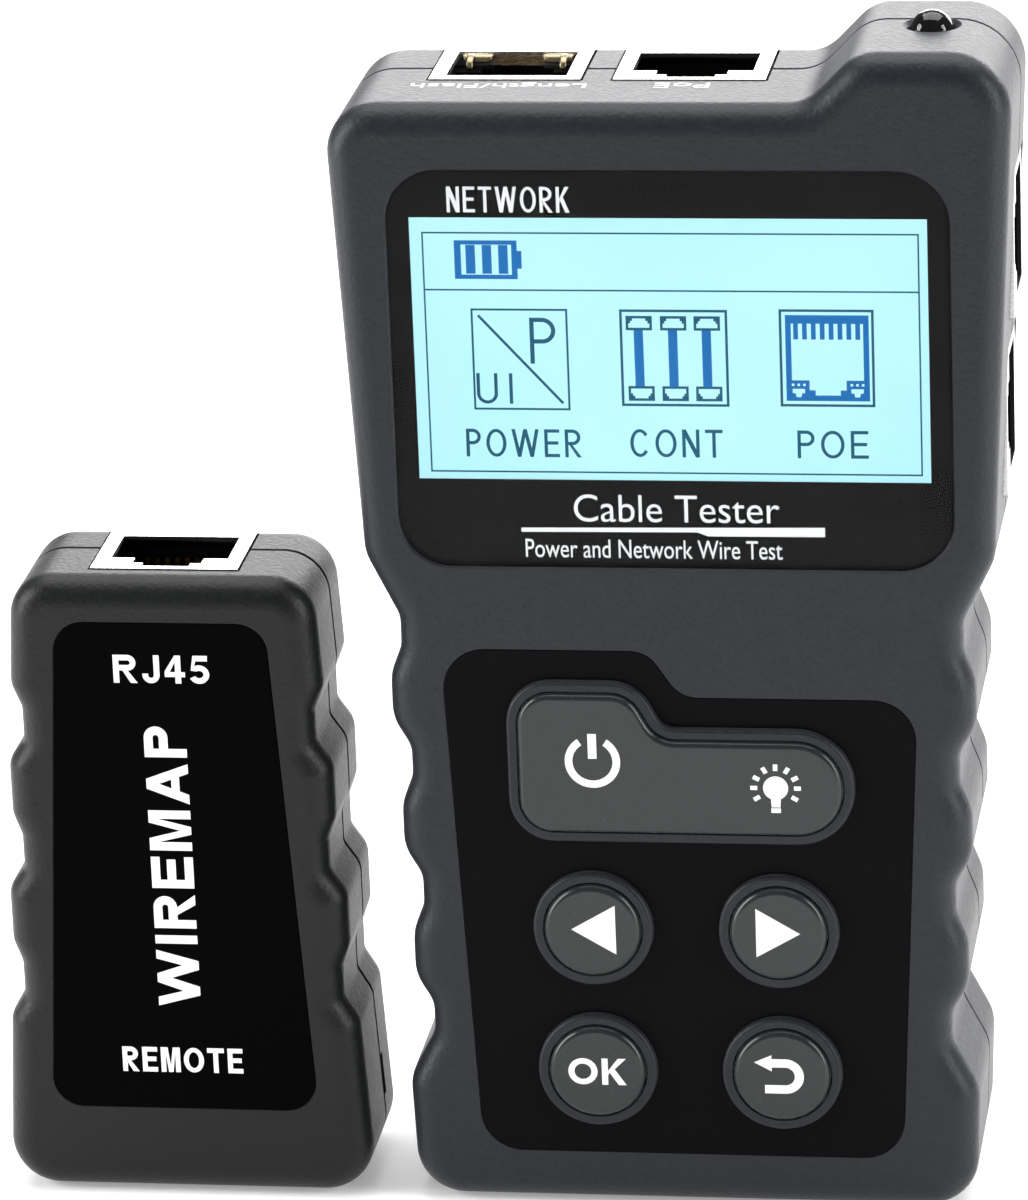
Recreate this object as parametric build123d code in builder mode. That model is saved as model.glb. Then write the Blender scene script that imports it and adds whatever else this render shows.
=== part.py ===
"""Network cable tester with its remote end unit.

Millimetres. X is to the right, Y goes from the display side to the back, Z is up. The origin is the centre of
the tester's flat base. The remote unit stands beside the tester, on the -X side, on the same level.
"""
from build123d import *
import os

os.makedirs("parts", exist_ok=True)

# ---------------------------------------------------------------- driving dimensions: tester case
case_depth = 26.0
front_y, back_y = -case_depth / 2, case_depth / 2
seam_y = 2.0                 # parting plane between the two shells
wall = 2.2
back_wall = 2.0
edge_round = 2.8             # soft outer edges round the front
back_round = 4.4             # fuller edges round the back
seam_bevel = 0.3             # makes the visible parting line
corner_round = 5.0
top_z = 114.5                # flat part of the top face
hump_z = 119.5               # top of the raised torch housing
hump_x, hump_run = 13.6, 4.9 # where the housing starts to rise, and how far its slope runs
foot_half, foot_rise, foot_top = 28.4, 0.45, 12.6
waist_half, grip_taper = 26.85, 0.0415
grip_first, grip_pitch, grip_count = 19.3, 13.75, 4
grip_depth, grip_flat, lobe_flat = 1.45, 3.2, 4.6
neck_half, neck_z = 31.1, 68.7
head_half, head_taper = 33.3, 0.048

# ---------------------------------------------------------------- driving dimensions: display
lens_w, lens_h, lens_r, lens_z = 54.8, 40.6, 5.4, 88.15
lens_t, lens_pocket, lens_gap = 1.0, 1.3, 0.2
view_w, view_h, view_z = 50.2, 26.6, 90.1
lcd_w, lcd_h = 53.6, 31.2

# ---------------------------------------------------------------- driving dimensions: keypad
overlay_t, overlay_pocket = 0.35, 0.45
overlay_half, overlay_taper = 21.05, 0.0445
overlay_bottom, overlay_low, overlay_high = 5.7, 54.7, 59.5
overlay_step_x, overlay_step_run = -3.1, 3.2
key_r, key_gap, rim_w, rim_rise = 4.85, 0.2, 0.95, 0.75
key_rise, key_inner_y = 1.25, -10.4
key_x, key_low_z, key_high_z = 9.3, 14.95, 30.2
wide_left, wide_right = -16.1, 16.0
wide_bottom, wide_low, wide_high = 40.7, 50.4, 55.2
wide_step_x, wide_step_run = -4.95, 2.6

# ---------------------------------------------------------------- driving dimensions: boards and torch
board_t = 1.6
board_y = -7.2               # front face of the main board
port_board_y, port_board_t = 9.0, 1.4
torch_x, torch_y, torch_r = 24.9, -0.25, 2.25
torch_top = 121.0

# ---------------------------------------------------------------- driving dimensions: battery bay
cell_r, cell_len, cell_pitch = 5.2, 44.5, 10.9
cell_y, cell_z = 5.9, 11.4
bay_half, bay_bottom, bay_top = 16.9, 9.4, 58.2
bay_wall, bay_floor_y = 1.2, 0.5
door_half, door_top, door_t, door_gap = 17.9, 58.6, 1.6, 0.3
hinge_y, hinge_z, hinge_r = 11.95, 8.6, 0.9

# ---------------------------------------------------------------- driving dimensions: sockets (8P8C)
port_w, port_h, port_len, port_gap = 14.9, 11.2, 15.0, 0.5
mouth_w, mouth_h = 11.9, 6.7
latch_w1, latch_h1, latch_w2, latch_h2 = 7.0, 1.5, 4.8, 0.9
mouth_border = 1.3           # frame width on the contact side
can_t, mouth_depth = 0.45, 13.4
port_y = 3.3                 # centre of every tester socket, front to back
port_a_x, port_b_x = -16.7, 1.4
port_c_z, port_d_z = 98.05, 79.85

# ---------------------------------------------------------------- driving dimensions: remote unit
remote_x = -51.8
remote_depth, remote_top = 18.5, 66.0
remote_front, remote_back = front_y, front_y + remote_depth
remote_seam = front_y + 10.4
remote_half, remote_taper = 19.05, 0.0575
remote_grip_first, remote_grip_depth = 22.8, 1.25
remote_wall = 1.8
remote_back_round = 3.6
remote_port_y = -3.4
label_bottom, label_top, label_low_half, label_high_half = 9.4, 61.8, 13.8, 10.7

case_screws_xz = [(-29.2, 109.3), (29.2, 109.3), (-23.2, 6.4), (23.2, 6.4)]
remote_screws_xz = [(remote_x - 11, 8.6), (remote_x + 11, 8.6)]


# ---------------------------------------------------------------- helpers
def facing(y):
    """Sketch plane at depth y that looks to the front: local x is X, local y is Z."""
    return Plane.XZ.offset(-y)


def at_points(sketch, points):
    """The sketch vertices that lie on the given points."""
    return [v for v in sketch.vertices() if any(abs(v.X - x) + abs(v.Y - z) < 0.01 for x, z in points)]


def rounded_outline(points, rounds, inset=0.0):
    """Closed outline with a radius for each group of its points, then moved inwards by inset."""
    with BuildSketch() as outline:
        with BuildLine():
            Polyline(*points, close=True)
        make_face()
        for group, radius in rounds:
            fillet(at_points(outline, group), radius)
        if inset:
            offset(amount=-inset)
    return outline.sketch


def grip_edge(half_at, first, count, depth, flat, lobe):
    """Right-hand edge of a finger grip: hollows of the given depth, with a lobe between each pair."""
    hollows, lobes = [], []
    for k in range(count):
        z = first + k * grip_pitch
        hollows += [(half_at(z) - depth, z - flat / 2), (half_at(z) - depth, z + flat / 2)]
        if k < count - 1:
            z += grip_pitch / 2
            lobes += [(half_at(z), z - lobe / 2), (half_at(z), z + lobe / 2)]
    return hollows, lobes


def mirrored(points):
    return [(-x, z) for x, z in points]


def case_outline(inset=0.0):
    hollows, lobes = grip_edge(lambda z: waist_half + grip_taper * z, grip_first, grip_count,
                               grip_depth, grip_flat, lobe_flat)
    foot = [(foot_half, 0), (foot_half + foot_rise, foot_top)]
    neck = [(neck_half, neck_z)]
    side = sorted(foot + hollows + lobes + neck, key=lambda p: p[1])
    left_top = [(-head_half, top_z)]
    right_top = [(head_half + head_taper * (hump_z - top_z), hump_z)]
    shoulder = [(hump_x + hump_run, hump_z), (hump_x, top_z)]
    outline = side + right_top + shoulder + left_top + mirrored(side)[::-1]
    rounds = [(foot[:1] + mirrored(foot[:1]), corner_round), (left_top, corner_round),
              (right_top, corner_round + 1), (shoulder, 4.5), (hollows + mirrored(hollows), 3.2),
              (lobes + mirrored(lobes), 5.0), (foot[1:] + mirrored(foot[1:]), 4.5),
              (neck + mirrored(neck), 5.0)]
    return rounded_outline(outline, rounds, inset)


def remote_outline(inset=0.0):
    def half_at(z):
        return remote_half - remote_taper * z
    hollows, lobes = grip_edge(half_at, remote_grip_first, 3, remote_grip_depth, 3.4, 5.6)
    low, high = [(half_at(0), 0)], [(half_at(remote_top), remote_top)]
    shoulders = [(half_at(remote_grip_first - 4.2), remote_grip_first - 4.2)]
    crown_z = remote_grip_first + 2 * grip_pitch + 4.2
    shoulders += [(half_at(crown_z), crown_z)]
    side = sorted(low + hollows + lobes + shoulders + high, key=lambda p: p[1])
    outline = side + mirrored(side)[::-1]
    rounds = [(low + mirrored(low), 5.0), (high + mirrored(high), 4.5),
              (hollows + mirrored(hollows), 1.6), (lobes + shoulders + mirrored(lobes + shoulders), 2.6)]
    return rounded_outline(outline, rounds, inset)


def overlay_outline(inset=0.0):
    def half_at(z):
        return overlay_half + overlay_taper * z
    corners = [(half_at(overlay_bottom), overlay_bottom), (half_at(overlay_low), overlay_low),
               (-half_at(overlay_high), overlay_high), (-half_at(overlay_bottom), overlay_bottom)]
    step = [(overlay_step_x + overlay_step_run, overlay_low), (overlay_step_x, overlay_high)]
    outline = corners[:2] + step + corners[2:]
    return rounded_outline(outline, [(corners, 4.3), (step, 3.2)], inset)


def wide_key_outline(inset=0.0):
    left = [(wide_left, wide_high), (wide_left, wide_bottom)]
    right = [(wide_right, wide_bottom), (wide_right, wide_low)]
    step = [(wide_step_x + wide_step_run, wide_low), (wide_step_x, wide_high)]
    return rounded_outline(right + step + left, [(left, 3.3), (right, 4.6), (step, 3.3)], inset)


def label_outline(inset=0.0):
    right = [(label_low_half, label_bottom), (label_high_half, label_top)]
    return rounded_outline(right + mirrored(right)[::-1], [(right + mirrored(right), 3.2)], inset)


def split_block(outline, y0, y1, y_seam, y1_round, front):
    """One half of a soft-edged block, with a bevel where it meets the other half."""
    with BuildPart() as block:
        with BuildSketch(facing(y0)):
            add(outline)
        extrude(amount=-(y1 - y0))
        fillet(block.faces().sort_by(Axis.Y)[0].edges(), edge_round)
        fillet(block.faces().sort_by(Axis.Y)[-1].edges(), y1_round)
        split(bisect_by=facing(y_seam), keep=Keep.TOP if front else Keep.BOTTOM)
        chamfer(block.faces().sort_by(Axis.Y)[-1 if front else 0].edges(), seam_bevel)
    return block.part


round_keys = {"prev": (-key_x, key_high_z), "next": (key_x, key_high_z),
              "ok": (-key_x, key_low_z), "return": (key_x, key_low_z)}
wide_centres = [(-8.9, 47.6), (9.2, 45.4)]
top_port_centres = [(port_a_x, port_y, top_z), (port_b_x, port_y, top_z)]
side_port_centres = [(head_half, port_y, port_c_z), (head_half, port_y, port_d_z)]

# ================================================================ front shell
with BuildPart() as front_shell:
    add(split_block(case_outline(), front_y, back_y, seam_y, back_round, front=True))
    with BuildSketch(facing(front_y + wall)):
        add(case_outline(wall))
    extrude(amount=-(seam_y - front_y), mode=Mode.SUBTRACT)
    # screw posts
    with BuildSketch(facing(front_y + wall)):
        with Locations(*case_screws_xz):
            Circle(2.4)
    extrude(amount=-(seam_y - front_y - wall))
    with BuildSketch(facing(seam_y)):
        with Locations(*case_screws_xz):
            Circle(1.02)
    extrude(amount=9.0, mode=Mode.SUBTRACT)
    # lens pocket and window
    with BuildSketch(facing(front_y)):
        with Locations((0, lens_z)):
            RectangleRounded(lens_w, lens_h, lens_r)
    extrude(amount=-lens_pocket, mode=Mode.SUBTRACT)
    with BuildSketch(facing(front_y)):
        with Locations((0, view_z)):
            Rectangle(view_w + 1.2, view_h + 1.6)
    extrude(amount=-(wall + 0.5), mode=Mode.SUBTRACT)
    # keypad pocket, with a raised rim round every key
    with BuildSketch(facing(front_y)):
        add(overlay_outline())
    extrude(amount=-overlay_pocket, mode=Mode.SUBTRACT)
    with BuildSketch(facing(front_y + overlay_pocket)):
        with Locations(*round_keys.values()):
            Circle(key_r + key_gap + rim_w)
        add(wide_key_outline(-(key_gap + rim_w)))
    extrude(amount=overlay_pocket + rim_rise)
    rim_tops = front_shell.faces().filter_by(Plane.XZ).sort_by(Axis.Y)[:5]
    fillet([e for face in rim_tops for e in face.edges()], 0.35)
    with BuildSketch(facing(front_y + wall + 0.2)):
        with Locations(*round_keys.values()):
            Circle(key_r + key_gap)
        add(wide_key_outline(-key_gap))
    extrude(amount=wall + 2.0, mode=Mode.SUBTRACT)
    # openings for the sockets and the torch
    with Locations(*top_port_centres):
        Box(port_w + port_gap, port_h + port_gap, 12, mode=Mode.SUBTRACT)
    with Locations(*side_port_centres):
        Box(12, port_h + port_gap, port_w + port_gap, mode=Mode.SUBTRACT)
    with Locations((torch_x, torch_y, hump_z)):
        Cylinder(torch_r + 0.25, 12, mode=Mode.SUBTRACT)
        Cone(torch_r + 0.25, torch_r + 0.65, 0.4, align=(Align.CENTER, Align.CENTER, Align.MAX),
             mode=Mode.SUBTRACT)
front_shell.part.label = "front_shell"
export_step(front_shell.part, "parts/front_shell.step")

# ================================================================ back shell, with the battery bay
with BuildPart() as back_shell:
    add(split_block(case_outline(), front_y, back_y, seam_y, back_round, front=False))
    with BuildSketch(facing(seam_y)):
        add(case_outline(wall))
    extrude(amount=-(back_y - back_wall - seam_y), mode=Mode.SUBTRACT)
    with BuildSketch(facing(seam_y)):
        with Locations(*case_screws_xz):
            Circle(3.1)
    extrude(amount=-(back_y - back_wall - seam_y))
    # bay tray
    with BuildSketch(facing(bay_floor_y - bay_wall)):
        with Locations((0, (bay_bottom + bay_top) / 2)):
            Rectangle(2 * (bay_half + bay_wall), bay_top - bay_bottom + 2 * bay_wall)
    extrude(amount=-(back_y - back_wall - bay_floor_y + bay_wall + 0.1))
    with BuildSketch(facing(bay_floor_y)):
        with Locations((0, (bay_bottom + bay_top) / 2)):
            Rectangle(2 * bay_half, bay_top - bay_bottom)
    extrude(amount=-case_depth, mode=Mode.SUBTRACT)
    # door opening: full thickness of the back wall, with a round seat for the door's hinge bead
    opening_low, opening_high = hinge_z - hinge_r - 0.4, door_top + door_gap
    with BuildSketch(facing(back_y - door_t - 0.3)):
        with Locations((0, (hinge_z + opening_high) / 2)):
            Rectangle(2 * (door_half + door_gap), opening_high - hinge_z)
    extrude(amount=-5, mode=Mode.SUBTRACT)
    with BuildSketch(facing(hinge_y)):
        with Locations((0, (hinge_z + opening_low) / 2)):
            Rectangle(2 * (door_half + door_gap), hinge_z - opening_low + 0.2)
    extrude(amount=-5, mode=Mode.SUBTRACT)
    with Locations((0, hinge_y, hinge_z)):
        Cylinder(hinge_r + 0.4, 2 * (door_half + door_gap), rotation=(0, 90, 0), mode=Mode.SUBTRACT)
    # screw holes, counterbored from the back
    with BuildSketch(facing(seam_y)):
        with Locations(*case_screws_xz):
            Circle(1.3)
    extrude(amount=-case_depth, mode=Mode.SUBTRACT)
    with BuildSketch(facing(seam_y + 2.4)):
        with Locations(*case_screws_xz):
            Circle(2.25)
    extrude(amount=-case_depth, mode=Mode.SUBTRACT)
    # openings for the sockets and the torch
    with Locations(*top_port_centres):
        Box(port_w + port_gap, port_h + port_gap, 12, mode=Mode.SUBTRACT)
    with Locations(*side_port_centres):
        Box(12, port_h + port_gap, port_w + port_gap, mode=Mode.SUBTRACT)
    with Locations((torch_x, torch_y, hump_z)):
        Cylinder(torch_r + 0.25, 12, mode=Mode.SUBTRACT)
        Cone(torch_r + 0.25, torch_r + 0.65, 0.4, align=(Align.CENTER, Align.CENTER, Align.MAX),
             mode=Mode.SUBTRACT)
back_shell.part.label = "back_shell"
export_step(back_shell.part, "parts/back_shell.step")

# ================================================================ battery door: a plate on a hinge bead
with BuildPart() as battery_door:
    with BuildSketch(facing(back_y - door_t)):
        with Locations((0, (hinge_z + door_top) / 2)):
            Rectangle(2 * door_half, door_top - hinge_z)
    extrude(amount=-door_t)
    with Locations((0, hinge_y, hinge_z)):
        Cylinder(hinge_r, 2 * door_half, rotation=(0, 90, 0))
    # stiffening ribs on the inside, between the cells
    with BuildSketch(facing(back_y - door_t)):
        with Locations((-cell_pitch / 2, 34), (cell_pitch / 2, 34)):
            Rectangle(1.0, 36)
    extrude(amount=1.1)
    # thumb scoop with three grip bars
    with BuildSketch(facing(back_y)):
        with Locations((0, door_top - 7.5)):
            SlotOverall(16, 8)
    extrude(amount=0.7, mode=Mode.SUBTRACT)
    with BuildSketch(facing(back_y - 0.7)):
        with Locations(*[(0, door_top - 7.5 + dz) for dz in (-2.2, 0, 2.2)]):
            Rectangle(9, 0.7)
    extrude(amount=-0.6)
battery_door.part.label = "battery_door"
export_step(battery_door.part, "parts/battery_door.step")

# ================================================================ display
with BuildPart() as display_lens:
    with BuildSketch(facing(front_y + 0.1)):
        with Locations((0, lens_z)):
            RectangleRounded(lens_w - 2 * lens_gap, lens_h - 2 * lens_gap, lens_r - lens_gap)
    extrude(amount=-lens_t)
    chamfer(display_lens.faces().sort_by(Axis.Y)[0].edges(), 0.15)
display_lens.part.label = "display_lens"
export_step(display_lens.part, "parts/display_lens.step")

with BuildPart() as lens_mask:
    with BuildSketch(facing(front_y + 0.1 + lens_t + 0.01)):
        with Locations((0, lens_z)):
            RectangleRounded(lens_w - 2 * lens_gap, lens_h - 2 * lens_gap, lens_r - lens_gap)
        with Locations((0, view_z)):
            Rectangle(view_w, view_h, mode=Mode.SUBTRACT)
    extrude(amount=-0.15)
lens_mask.part.label = "lens_mask"
export_step(lens_mask.part, "parts/lens_mask.step")

lcd_front = front_y + wall + 0.1
with BuildPart() as lcd_panel:
    with BuildSketch(facing(lcd_front)):
        with Locations((0, view_z)):
            Rectangle(lcd_w, lcd_h)
    extrude(amount=-1.4)
lcd_panel.part.label = "lcd_panel"
export_step(lcd_panel.part, "parts/lcd_panel.step")

with BuildPart() as lcd_backlight:
    with BuildSketch(facing(lcd_front + 1.45)):
        with Locations((0, view_z)):
            Rectangle(lcd_w, lcd_h)
    extrude(amount=-1.8)
lcd_backlight.part.label = "lcd_backlight"
export_step(lcd_backlight.part, "parts/lcd_backlight.step")

with BuildPart() as lcd_frame:
    with BuildSketch(facing(lcd_front)):
        with Locations((0, view_z)):
            Rectangle(lcd_w + 1.4, lcd_h + 1.4)
            Rectangle(lcd_w + 0.4, lcd_h + 0.4, mode=Mode.SUBTRACT)
    extrude(amount=-3.3)
lcd_frame.part.label = "lcd_frame"
export_step(lcd_frame.part, "parts/lcd_frame.step")

# ================================================================ keypad
with BuildPart() as keypad_overlay:
    with BuildSketch(facing(front_y + 0.08)):
        add(overlay_outline(0.12))
        with Locations(*round_keys.values()):
            Circle(key_r + key_gap + rim_w + 0.1, mode=Mode.SUBTRACT)
        add(wide_key_outline(-(key_gap + rim_w + 0.1)), mode=Mode.SUBTRACT)
    extrude(amount=-overlay_t)
keypad_overlay.part.label = "keypad_overlay"
export_step(keypad_overlay.part, "parts/keypad_overlay.step")

with BuildPart() as keypad_web:
    with BuildSketch(facing(front_y + wall + 0.1)):
        with Locations((0, 31.5)):
            RectangleRounded(41, 50, 3)
        with Locations(*round_keys.values()):
            Circle(key_r + 0.6, mode=Mode.SUBTRACT)
        add(wide_key_outline(-0.6), mode=Mode.SUBTRACT)
    extrude(amount=-0.9)
keypad_web.part.label = "keypad_web"
export_step(keypad_web.part, "parts/keypad_web.step")

for key_name, (x, z) in round_keys.items():
    with BuildPart() as round_key:
        with BuildSketch(facing(key_inner_y)):
            with Locations((x, z)):
                Circle(key_r)
        extrude(amount=key_inner_y - front_y + key_rise)
        fillet(round_key.faces().sort_by(Axis.Y)[0].edges(), 0.7)
        with BuildSketch(facing(key_inner_y)):
            with Locations((x, z)):
                Circle(1.5)
        extrude(amount=-1.9)
    round_key.part.label = f"key_{key_name}"
    export_step(round_key.part, f"parts/key_{key_name}.step")

with BuildPart() as key_power_light:
    with BuildSketch(facing(key_inner_y)):
        add(wide_key_outline())
    extrude(amount=key_inner_y - front_y + key_rise)
    fillet(key_power_light.faces().sort_by(Axis.Y)[0].edges(), 0.6)
    with BuildSketch(facing(key_inner_y)):
        with Locations(*wide_centres):
            Circle(1.5)
    extrude(amount=-1.9)
key_power_light.part.label = "key_power_light"
export_step(key_power_light.part, "parts/key_power_light.step")

with BuildPart() as dome_switches:
    for x, z in wide_centres + list(round_keys.values()):
        with BuildSketch(facing(board_y)):
            with Locations((x, z)):
                Circle(2.5)
        extrude(amount=0.35, taper=40)
dome_switches.part.label = "dome_switches"
export_step(dome_switches.part, "parts/dome_switches.step")

# ================================================================ boards and what is soldered to them
with BuildPart() as main_board:
    with BuildSketch(facing(board_y)):
        with Locations((0, 89.7)):
            Rectangle(52, 43.6)
        with Locations((0, 39.5)):
            Rectangle(44.4, 58)
    extrude(amount=-board_t)
main_board.part.label = "main_board"
export_step(main_board.part, "parts/main_board.step")

with BuildPart() as port_board:
    with BuildSketch(facing(port_board_y)):
        with Locations((0, 89.0)):
            Rectangle(52, 45)
    extrude(amount=-port_board_t)
port_board.part.label = "port_board"
export_step(port_board.part, "parts/port_board.step")

board_back = board_y + board_t
with BuildPart() as controller_chips:
    for x, z, w, h, t in [(-10, 82, 12, 12, 1.4), (6, 84, 9, 6, 1.5), (6, 72, 9, 6, 1.5),
                          (-19.6, 66, 6.4, 10, 1.5)]:
        with BuildSketch(facing(board_back)):
            with Locations((x, z)):
                Rectangle(w, h)
        extrude(amount=-t)
controller_chips.part.label = "controller_chips"
export_step(controller_chips.part, "parts/controller_chips.step")

with BuildPart() as chip_leads:
    for side in (-1, 1):
        with BuildSketch(facing(board_back)):
            for k in range(11):
                with Locations((-10 + side * 6.6, 77.5 + 0.9 * k), (-14.5 + 0.9 * k, 82 + side * 6.6)):
                    Rectangle(0.45, 0.45)
        extrude(amount=-0.6)
chip_leads.part.label = "chip_leads"
export_step(chip_leads.part, "parts/chip_leads.step")

with BuildPart() as crystal:
    with BuildSketch(facing(board_back)):
        with Locations((-10, 69)):
            SlotOverall(10.5, 4.4)
    extrude(amount=-2.6)
    fillet(crystal.faces().sort_by(Axis.Y)[-1].edges(), 0.6)
crystal.part.label = "crystal"
export_step(crystal.part, "parts/crystal.step")

with BuildPart() as buzzer:
    with BuildSketch(facing(board_back)):
        with Locations((18.5, 75)):
            Circle(4.4)
    extrude(amount=-3.0)
    with BuildSketch(facing(board_back + 3.0)):
        with Locations((18.5, 75)):
            Circle(0.9)
    extrude(amount=0.8, mode=Mode.SUBTRACT)
buzzer.part.label = "buzzer"
export_step(buzzer.part, "parts/buzzer.step")

with BuildPart() as board_header:
    with BuildSketch(facing(board_back)):
        with Locations((-1, 93)):
            Rectangle(15.2, 2.4)
    extrude(amount=-(port_board_y - board_back))
board_header.part.label = "board_header"
export_step(board_header.part, "parts/board_header.step")

# ================================================================ torch: lamp and its two leads
with BuildPart() as torch_led:
    with Locations((torch_x, torch_y, torch_top - torch_r)):
        Sphere(torch_r)
    with Locations((torch_x, torch_y, torch_top - torch_r)):
        Cylinder(torch_r, 5.5, align=(Align.CENTER, Align.CENTER, Align.MAX))
    with Locations((torch_x, torch_y, torch_top - torch_r - 5.5)):
        Cylinder(torch_r + 0.15, 1.0, align=(Align.CENTER, Align.CENTER, Align.MAX))
torch_led.part.label = "torch_led"
export_step(torch_led.part, "parts/torch_led.step")

with BuildPart() as torch_leads:
    for dx in (-1.0, 1.0):
        with BuildLine() as lead:
            top = (torch_x + dx, torch_y, torch_top - torch_r - 6.5)
            knee = (torch_x + dx, torch_y, 109.6)
            end = (torch_x + dx, board_back + 0.05, 107.4)
            FilletPolyline(top, knee, end, radius=1.2)
        with BuildSketch(Plane(origin=top, z_dir=(0, 0, -1))):
            Rectangle(0.5, 0.5)
        sweep(path=lead.line)
torch_leads.part.label = "torch_leads"
export_step(torch_leads.part, "parts/torch_leads.step")

# ================================================================ battery cells and contacts
cell_xs = (-cell_pitch, 0, cell_pitch)
with BuildPart() as battery_cells:
    for k, x in enumerate(cell_xs):
        up = 1 if k != 1 else -1
        with Locations(Location((x, cell_y, cell_z + cell_len / 2), (0, 0 if up > 0 else 180, 0))):
            Cylinder(cell_r, cell_len - 1.2)
            with Locations((0, 0, (cell_len - 1.2) / 2)):
                Cylinder(2.2, 1.2, align=(Align.CENTER, Align.CENTER, Align.MIN))
battery_cells.part.label = "battery_cells"
export_step(battery_cells.part, "parts/battery_cells.step")

with BuildPart() as battery_plates:
    for x in cell_xs:
        with Locations((x, cell_y, bay_bottom + 0.2), (x, cell_y, bay_top - 0.2)):
            Box(8.4, 8.4, 0.3)
    # a dimple that reaches for the positive end of each cell
    with Locations((cell_xs[0], cell_y, bay_top - 0.8), (cell_xs[1], cell_y, bay_bottom + 0.8),
                   (cell_xs[2], cell_y, bay_top - 0.8)):
        Cylinder(1.8, 1.0)
battery_plates.part.label = "battery_plates"
export_step(battery_plates.part, "parts/battery_plates.step")

with BuildPart() as battery_springs:
    spring_low, spring_high = bay_bottom + 0.65, bay_top - 0.65
    for x, z, up in [(cell_xs[0], spring_low, 1), (cell_xs[1], spring_high, -1), (cell_xs[2], spring_low, 1)]:
        with BuildLine() as coil:
            Helix(pitch=0.75, height=1.5, radius=3.2, center=(x, cell_y, z), direction=(0, 0, up),
                  cone_angle=-20)
        with BuildSketch(Plane(origin=coil.line @ 0, z_dir=coil.line % 0)):
            Circle(0.22)
        sweep(path=coil.line, is_frenet=True)
battery_springs.part.label = "battery_springs"
export_step(battery_springs.part, "parts/battery_springs.step")

for lead_name, side in (("red", -1), ("black", 1)):
    with BuildPart() as battery_lead:
        with BuildLine() as run:
            start = (side * 14.0, cell_y - 2.0, bay_top + bay_wall + 0.5)
            Spline(start, (side * 15.0, -1.0, 62.4), (side * 12.5, board_back + 0.5, 66.0),
                   tangents=[(0, -0.4, 1), (0, -1, 0)])
        with BuildSketch(Plane(origin=run.line @ 0, z_dir=run.line % 0)):
            Circle(0.5)
        sweep(path=run.line)
    battery_lead.part.label = f"battery_lead_{lead_name}"
    export_step(battery_lead.part, f"parts/battery_lead_{lead_name}.step")


# ================================================================ sockets
def mouth_sketch(grow=0.0):
    """Mouth of a socket on the local XY plane: contacts towards +y, latch slot towards -y."""
    contact_edge = port_h / 2 - mouth_border
    with BuildSketch() as mouth:
        with Locations((0, contact_edge - mouth_h / 2)):
            Rectangle(mouth_w + 2 * grow, mouth_h + 2 * grow)
        with Locations((0, contact_edge - mouth_h)):
            Rectangle(latch_w1 + 2 * grow, latch_h1 + grow, align=(Align.CENTER, Align.MAX))
        with Locations((0, contact_edge - mouth_h - latch_h1)):
            Rectangle(latch_w2 + 2 * grow, latch_h2 + grow, align=(Align.CENTER, Align.MAX))
    return mouth.sketch


def socket_parts(open_latch=False):
    """Shield can, plastic insert and contact springs of one socket; its mouth is at z = 0, facing +z.
    With open_latch the shield's window is a plain rectangle, and the latch slot shows in the insert behind it."""
    with BuildPart() as shield:
        with Locations((0, 0, -port_len / 2)):
            Box(port_w, port_h, port_len)
        with Locations((0, 0, -port_len / 2 - 0.55)):
            Box(port_w - 2 * can_t, port_h - 2 * can_t, port_len, mode=Mode.SUBTRACT)
        with BuildSketch(Plane.XY):
            add(mouth_sketch())
            if open_latch:
                with Locations((0, port_h / 2 - mouth_border)):
                    Rectangle(mouth_w, mouth_h + latch_h1 + latch_h2, align=(Align.CENTER, Align.MAX))
        extrude(amount=-2, mode=Mode.SUBTRACT)
    with BuildPart() as insert:
        with Locations((0, 0, -port_len / 2 - 0.2)):
            Box(port_w - 2 * can_t - 0.1, port_h - 2 * can_t - 0.1, port_len - 0.8)
        if open_latch:
            with Locations((0, -port_h / 2, 0)):
                Box(port_w, 2 * (latch_h1 + latch_h2 + 0.9), 3.0, mode=Mode.SUBTRACT)
        with BuildSketch(Plane.XY):
            add(mouth_sketch(0.1))
        extrude(amount=-mouth_depth, mode=Mode.SUBTRACT)
    wire_y = port_h / 2 - mouth_border
    with BuildPart() as contacts:
        with BuildSketch(Plane.YZ):
            with BuildLine():
                Polyline((wire_y, -2.2), (wire_y - 0.35, -2.2), (wire_y - 1.7, -8.6), (wire_y - 1.7, -9.6),
                         (wire_y - 0.3, 0.4 - mouth_depth), (wire_y, 0.4 - mouth_depth),
                         (wire_y - 1.35, -9.5), (wire_y - 1.35, -8.6), close=True)
            make_face()
        extrude(amount=0.22, both=True)
        one = contacts.part
        for k in range(8):
            add(one.moved(Location(((k - 3.5) * 1.02, 0, 0))), mode=Mode.REPLACE if k == 0 else Mode.ADD)
    return {"shield": shield.part, "insert": insert.part, "contacts": contacts.part}


sockets = {
    "port_a": Location((port_a_x, port_y, top_z + 0.1), (0, 0, 180)),
    "port_b": Location((port_b_x, port_y, top_z + 0.1)),
    "port_c": Location((neck_half + head_taper * (port_c_z - neck_z) + 0.15, port_y, port_c_z), (0, 90, 0)),
    "port_d": Location((neck_half + head_taper * (port_d_z - neck_z) + 0.15, port_y, port_d_z), (0, 90, 0)),
    "remote_port": Location((remote_x, remote_port_y, remote_top + 0.1)),
}
for port_name, place in sockets.items():
    for piece_name, piece in socket_parts(open_latch=port_name == "port_a").items():
        with BuildPart() as socket_piece:
            add(piece.moved(place))
        socket_piece.part.label = f"{port_name}_{piece_name}"
        export_step(socket_piece.part, f"parts/{port_name}_{piece_name}.step")


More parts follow.
